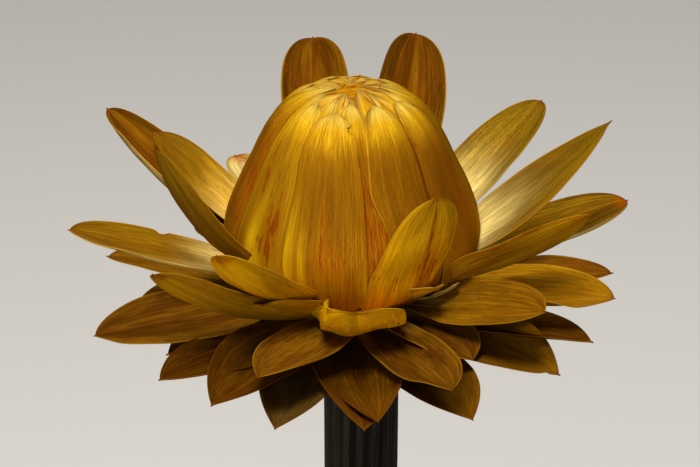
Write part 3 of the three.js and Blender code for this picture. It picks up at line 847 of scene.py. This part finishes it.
middleBracts = {
    "ringRadius": 6.3, "ringHeight": -1, "grid": (52, 24), "thickness": 0.16, "ripple": 0.3,
    "usual": {"rise": (5, 3), "length": 25, "width": 8, "taper": (2.6, 0.68), "litCream": 0.3,
              "litCreamReach": 0.35},
    "hidden": {"from": 112, "to": 240, "count": 6, "rise": 3, "length": 17},
    "bracts": {
        -100: dict(rise=(5, 5), length=21), -85: dict(rise=(-2, -2), length=17),
        -65: dict(rise=(4, 0), length=23.5, width=7.5, roll=-18, brown=0.8, litCream=0.1, stain=0.5,
            fold=(1, 0.7, -40, 0.2, 0.9)),
        -45: dict(root=-26, rise=(9, 46), length=26.5, width=6.5, roll=32, bend=-8, taper=(3, 0.58),
            outer=0.2, litGold=0.8, crease=0.08, litCream=0,
            stains=[(1, 0.6, 0.12, 0.4, 0.9), (0, 1, 1, 0.06, 1)]),
        -19: dict(root=-2, rise=(7, 14), bend=-6, brown=0.2, taper=(2.4, 0.85)),
        23: dict(root=11, rise=(3, 12), width=7.5, bend=-5, brown=0.7, fold=(-1, 0.7, -40, 0.1, 0.8)),
        34: dict(rise=(5, 2), length=16, brown=0.5),
        43: dict(root=58, rise=(19, 20), width=6.5, roll=32, bend=-12, taper=(3, 0.58), litGold=0.2),
        63: dict(rise=(17, 10), roll=18, litCream=0.8, litGold=0.4, fold=(-1, 0.55, 35, 0.4, 0.75)),
        85: dict(rise=(7, 10), length=22, stain=0.7, brown=0.5),
    },
}
lowerBracts = {
    "ringRadius": 6, "ringHeight": -2.6, "grid": (48, 26), "thickness": 0.18, "ripple": 0.35,
    "usual": {"rise": (0, 3), "length": 24, "width": 9.5, "taper": (2.1, 0.92), "litCream": 0.1,
              "litCreamReach": 0.3},
    "hidden": {"from": 112, "to": 254, "count": 7, "rise": -10, "length": 19},
    "bracts": {
        -80: dict(rise=(-8, -8), length=17), -58: dict(rise=(0, 0), length=17, olive=0.5),
        -43: dict(rise=(0, 14), bend=4, drop=0.6), -30: dict(rise=(7, 0), roll=-6, bend=4),
        -17: dict(rise=(2, 2), width=8.5, roll=-5, bend=5, drop=0.6, olive=0.8),
        0: dict(rise=(2, 1), roll=-9, bend=6, brown=0.2),
        5: dict(rise=(7, 3), width=8.5, roll=10, drop=0.6),
        24: dict(rise=(-3, 7), drop=0.4, litGold=0.4),
        50: dict(rise=(7, 0), length=23, roll=10, bend=-6, litGold=1, notches=[(0.95, -1, 0.6, 0.012)]),
        60: dict(rise=(10, 9), roll=-6, bend=-7, drop=0.5, stain=0.6),
        88: dict(rise=(-8, -8), length=17),
    },
}
plainBract = {
    **plainTone, "roll": 0, "bend": 0, "drop": 0, "cup": 20, "crease": 0, "foot": 0.3, "sway": 0,
    "fold": None, "notches": (), "wave": 1,
}
blade = {
    "steps": 140, "tipRows": 1.5, "widest": 0.5, "rollReachedAt": 0.4, "rollPower": 0.8,
    "sway": (0.35, 1.1), "foldBlend": 0.15, "notchFrom": 0.3, "keel": 0.12, "tipWidth": 0.2,
    "pointLength": 0.22, "pointRows": 3, "pointTaper": 0.8, "uneven": (0.04, 5, 3.3, 1),
    "body": (1.02, 0.6, 0.98),  # how the waves swell: stretch, power and end
    "edgeWave": (1, 4.5, 0.7, 7.3), "waves": [(0.4, 1.8, 1.7, 4.1), (0.25, 9, 2.6, 2.3)],
    "ribs": (0.1, 4.5, 1.3, 1.7), "bractSeed": 1.93, "layerSeed": 11,
    "hiddenScatter": {"facing": 3, "rise": 5, "length": 1},
}


def bractSlope(bract, t):
    if "rises" not in bract:
        return math.radians(bract["rise"][0] + (bract["rise"][1] - bract["rise"][0]) * t)
    for (start, low), (end, high) in zip(bract["rises"], bract["rises"][1:]):
        if start <= t <= end:
            slope = low + (high - low) * (t - start) / (end - start)
    return math.radians(slope)


def bractDirection(bract, t):
    slope = bractSlope(bract, t)
    return bearingPoint(math.cos(slope), bract["facing"] + bract["bend"] * t, math.sin(slope))


def bractTaper(t, bract):
    power, bluntness = bract["taper"]
    widest = blade["widest"]
    if t < widest:
        return bract["foot"] + (1 - bract["foot"]) * math.sin(math.pi / 2 * t / widest)
    return max(0, 1 - ((t - widest) / (1 - widest)) ** power) ** bluntness


def bractCentreline(bract, layer):
    point = bearingPoint(layer["ringRadius"], bract["root"], layer["ringHeight"] - bract["drop"])
    line = [point.copy()]
    steps = blade["steps"]
    for step in range(steps):
        point += bractDirection(bract, (step + 0.5) / steps) * (bract["length"] / steps)
        line.append(point.copy())
    return line


def crossSection(bract, half, t, s):  # how far a point lies to the side of the midrib and above it
    cup = math.radians(bract["cup"])
    rise = blade["keel"] + bract["crease"]
    flat = s
    if bract["fold"]:
        side, start, angle, fromT, toT = bract["fold"]
        if side * s > start:
            flat = side * start
    across = half * math.sin(cup * flat) / cup
    raised = half * ((1 - math.cos(cup * flat)) / cup + rise * abs(flat))
    if flat != s:
        blend = blade["foldBlend"]
        strength = smooth(t, fromT, fromT + blend) * (1 - smooth(t, toT, min(1, toT + blend)))
        beyond = half * (abs(s) - start)
        slope = cup * (start + abs(s)) / 2 + math.atan(rise) + math.radians(angle) * strength
        across += side * beyond * math.cos(slope)
        raised += beyond * math.sin(slope)
    return across, raised


def notched(bract, half, t, s):  # half the width, less what the notches take
    for place, side, depth, width in bract["notches"]:
        if s * side > 0:
            taken = depth * math.exp(-((t - place) / width) ** 2)
            half *= 1 - taken * smooth(abs(s), blade["notchFrom"], 1)
    return half


def openSheet(bract, layer, seed):
    rows, columns = layer["grid"]
    line = bractCentreline(bract, layer)
    steps, pointRows = blade["steps"], blade["pointRows"]
    flatShare = 1 - blade["pointLength"] / bract["length"]
    stretch, power, end = blade["body"]
    sheet = []
    for i, t in enumerate(rowPlaces(rows, blade["tipRows"]) + [1] * pointRows):
        past = max(0, i - rows) / pointRows
        place = (t * flatShare + past * (1 - flatShare)) * steps
        k = min(int(place), steps - 1)
        turn = math.radians(bract["facing"] + bract["bend"] * t)
        flatSide = ringPoint(1, turn, 0)
        centre = line[k].lerp(line[k + 1], place - k)
        centre = centre + flatSide * (bract["sway"] * smooth(t, *blade["sway"]))
        flatUp = bractDirection(bract, t).cross(flatSide)
        rollShare = min(1, t / blade["rollReachedAt"]) ** blade["rollPower"]
        roll = math.radians(bract["roll"]) * rollShare
        side = flatSide * math.cos(roll) + flatUp * math.sin(roll)
        up = flatUp * math.cos(roll) - flatSide * math.sin(roll)
        width = bract["width"] * bractTaper(t, bract) * (1 + wobble(blade["uneven"], t, seed, 1.5))
        half = max(blade["tipWidth"] * (1 - blade["pointTaper"] * past), width) / 2
        body = math.sin(math.pi * min(1, t * stretch)) ** power if t < end else 0
        wave = layer["ripple"] * bract["wave"] * body
        row = []
        for s in acrossPlaces(columns):
            across, raised = crossSection(bract, notched(bract, half, t, s), t, s)
            raised += wave * s * s * wobble(blade["edgeWave"], t, s, seed)
            raised += wave * sum(wobble(each, t, s, seed) for each in blade["waves"])
            raised += body * wobble(blade["ribs"], s, t, seed)
            row.append((centre + side * across + up * raised, s, t))
        sheet.append(row)
    return sheet


def hiddenBracts(span, draw):
    scatter = blade["hiddenScatter"]
    found = {}
    for k in range(span["count"]):
        middle = span["from"] + (span["to"] - span["from"]) * (k + 0.5) / span["count"]
        rise = span["rise"] + scatter["rise"] * draw()
        facing = middle + scatter["facing"] * draw()
        length = span["length"] + scatter["length"] * draw()
        found[facing] = {"rise": (rise, rise), "length": length}
    return found


def makeOpenBracts(name, layer, material, draw):
    build = newBuild()
    bracts = {**layer["bracts"], **hiddenBracts(layer["hidden"], draw)}
    for k, (facing, given) in enumerate(bracts.items()):
        bract = {**plainBract, "facing": facing, "root": facing, **layer["usual"], **given}
        seed = k * blade["bractSeed"] + layer["ringHeight"] * blade["layerSeed"]
        addShell(build, openSheet(bract, layer, seed), layer["thickness"], seed, bract)
    pieceFromBuild(name, build, material, "bloom")


scatterDraw = seededDraw(41)
makeOpenBracts("upperBracts", upperBracts, papers["upper"], scatterDraw)
makeOpenBracts("middleBracts", middleBracts, papers["middle"], scatterDraw)
makeOpenBracts("lowerBracts", lowerBracts, papers["lower"], scatterDraw)
print("bloom ready")


# Stem

stem = {
    "topRadius": 4.2, "footRadius": 3.5, "ribs": 16, "ribDepth": 0.16, "twist": 25, "sides": 128,
    "rows": 200, "grain": (1, 9, 9, 5), "fine": (0.5, 26, 26, 9), "roughness": 0.09,
    "sunk": 0.7,  # how far the rough skin lies inside the radius, as a share of its roughness
    "fibres": {"across": 16, "along": 12, "seed": 2.0},
    # dark, mid and pale are darker than the stem's own grey-brown: painted shade, as the stem stands in
    # shade under the bloom
    "dark": (0.002, 0.0015, 0.001), "mid": (0.008, 0.006, 0.0035), "pale": (0.03, 0.022, 0.014),
    "olive": (0.014, 0.012, 0.004), "fibreStretch": 4.0, "fibreCoarse": 0.25, "streakStretch": 1.7,
    "streakAmount": 0.55, "streakShare": 0.7, "oliveShare": 0.45, "bump": (0.8, 0.0003),
    "fibreShare": 0.6, "ribShare": 0.4,
}


def stemMaterial():  # its tone is how high a rib is, and how far a side turns to the left
    material, tree = newMaterial("driedStemBark")
    around, along, seed = attributeParts(tree, "piecePlace")
    high, greenSide, _ = attributeParts(tree, "pieceTone")
    fibres = placeGroup(
        dryFibres, Across=times(around, stem["fibreStretch"]), Along=along, Seed=seed,
        Coarse=stem["fibreCoarse"])
    height = plus(times(fibres["Shade"], stem["fibreShare"]), times(high, stem["ribShare"]))
    colour = rampNode(height, [(0.1, stem["dark"]), (0.5, stem["mid"]), (1.0, stem["pale"])])
    streaks = placeGroup(
        brokenStreaks, Across=times(around, stem["streakStretch"]), Along=along, Seed=seed,
        Amount=stem["streakAmount"])
    colour = paint(
        colour, (times(streaks["Mask"], stem["streakShare"]), stem["dark"]),
        (times(greenSide, stem["oliveShare"]), stem["olive"]))
    fill(tree.nodes["Principled BSDF"], {
        "Base Color": colour, "Normal": bumpNode(fibres["Height"], *stem["bump"]),
        "Roughness": 0.85, "Specular IOR Level": 0.08})
    return material


def makeStem():
    low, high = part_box("stem")
    bottom, height = low.z / mm, (high.z - low.z) / mm
    sides, rows = stem["sides"], stem["rows"]
    perTurn, perSpan, seed = stem["fibres"]["across"], stem["fibres"]["along"], stem["fibres"]["seed"]
    build = newBuild()
    for i in range(rows + 1):
        t = i / rows
        base = stem["footRadius"] + (stem["topRadius"] - stem["footRadius"]) * t
        for j in range(sides):
            turn = 2 * math.pi * j / sides
            x, y = math.cos(turn), math.sin(turn)
            rib = 0.5 + 0.5 * math.cos(stem["ribs"] * turn)
            rough = wobble(stem["grain"], x, y, t) + wobble(stem["fine"], x, y, t) - stem["sunk"]
            radius = base - stem["ribDepth"] * (1 - rib) + stem["roughness"] * rough
            around = turn + math.radians(stem["twist"]) * t
            addPoint(
                build, ringPoint(radius, around, bottom + height * t),
                place=(turn / math.pi * perTurn, t * height / perSpan, seed),
                tone=(rib, max(0, -math.cos(around)) ** 2, 0.0))
    for t in (0, 1):
        addPoint(build, Vector((0, 0, bottom + height * t)), place=(0, t * height / perSpan, seed),
                 tone=(0.5, 0.0, 0.0))
    top = len(build["points"]) - 1
    addRings(build, 0, sides, rows + 1, top - 1, top)
    pieceFromBuild("stemBark", build, stemMaterial(), "stem")


makeStem()


# Vase

vase = {
    "outline": [  # radius and height of the outside, from the foot to the lip
        (15, 0), (19.78, 6), (22.77, 18), (22.54, 29), (18.4, 41), (11.73, 52), (8.2, 62), (7.3, 71),
        (8.6, 76.7),
    ],
    "perSpan": 10, "lipSteps": 12, "wall": 2.6, "floor": 4, "floorBend": 3, "sides": 160,
    "rings": (0.05, 1.9, 12),  # depth of the throwing rings, how close they are, and where they are full
    "glaze": (0.56, 0.52, 0.45), "cool": (0.44, 0.43, 0.39), "clay": (0.36, 0.25, 0.17),
    "dryClay": (0.27, 0.18, 0.12), "speck": (0.10, 0.06, 0.035),
    "small": {"Scale": 900.0, "Amount": 0.16, "Size": 0.34},
    "large": {"Scale": 330.0, "Amount": 0.07, "Size": 0.3},
    "smallShare": 0.6, "cloudScale": 60.0, "grainScale": 1400.0, "coolRange": (0.4, 0.65),
    "glazeEnd": (0.0065, 0.0072, 1.0, 0.0),  # metres above the foot
    "glazeWander": 0.004, "speckHeight": -0.6, "bump": (0.35, 0.0002),
}


def vaseMaterial():
    material, tree = newMaterial("speckledStoneware")
    spot = addNode("TexCoord", {}, tree).outputs["Object"]
    parts = addNode("SeparateXYZ", {0: spot}).outputs
    cloud = noiseNode(spot, vase["cloudScale"], 4.0)
    grain = noiseNode(spot, vase["grainScale"], 3.0)
    small = placeGroup(softSpecks, Vector=spot, **vase["small"])
    large = placeGroup(softSpecks, Vector=spot, **vase["large"])
    specks = mathNode("MAXIMUM", times(small["Mask"], vase["smallShare"]), large["Mask"])
    wavy = plus(parts[2], times(cloud, vase["glazeWander"]))
    bare = rangeNode(wavy, *vase["glazeEnd"])
    colour = paint(
        vase["glaze"], (rangeNode(cloud, *vase["coolRange"]), vase["cool"]), (specks, vase["speck"]),
        (bare, blendNode(grain, vase["clay"], vase["dryClay"])))
    height = plus(grain, times(specks, vase["speckHeight"]))
    fill(tree.nodes["Principled BSDF"], {
        "Base Color": colour, "Roughness": rangeNode(bare, 0.0, 1.0, 0.5, 0.9),
        "Normal": bumpNode(height, *vase["bump"]), "Specular IOR Level": 0.4})
    return material


def makeVase():
    perSpan, wall, floor = vase["perSpan"], vase["wall"], vase["floor"]
    spans = len(vase["outline"]) - 1
    outside = [curvePoint(vase["outline"], step / perSpan) for step in range(spans * perSpan + 1)]
    inside = [(radius - wall, z) for radius, z in reversed(outside) if z > floor + vase["floorBend"]]
    lipRadius, lipHeight = outside[-1]
    lip = []
    for k in range(1, vase["lipSteps"]):
        turn = math.pi * k / vase["lipSteps"]
        lip.append((lipRadius - wall / 2 * (1 - math.cos(turn)), lipHeight + wall / 2 * math.sin(turn)))
    outline = outside + lip + inside + [(vase["outline"][0][0] - wall, floor)]
    depth, closeness, fullAt = vase["rings"]
    build = newBuild()
    for radius, z in outline:
        ring = depth * math.sin(z * closeness) * min(1, z / fullAt)
        for j in range(vase["sides"]):
            addPoint(build, ringPoint(radius + ring, 2 * math.pi * j / vase["sides"], z))
    for z in (0, floor):
        addPoint(build, Vector((0, 0, z)))
    top = len(build["points"]) - 1
    addRings(build, 0, vase["sides"], len(outline), top - 1, top)
    pieceFromBuild("stonewareVase", build, vaseMaterial(), "vase")


makeVase()
print("stem and vase ready")
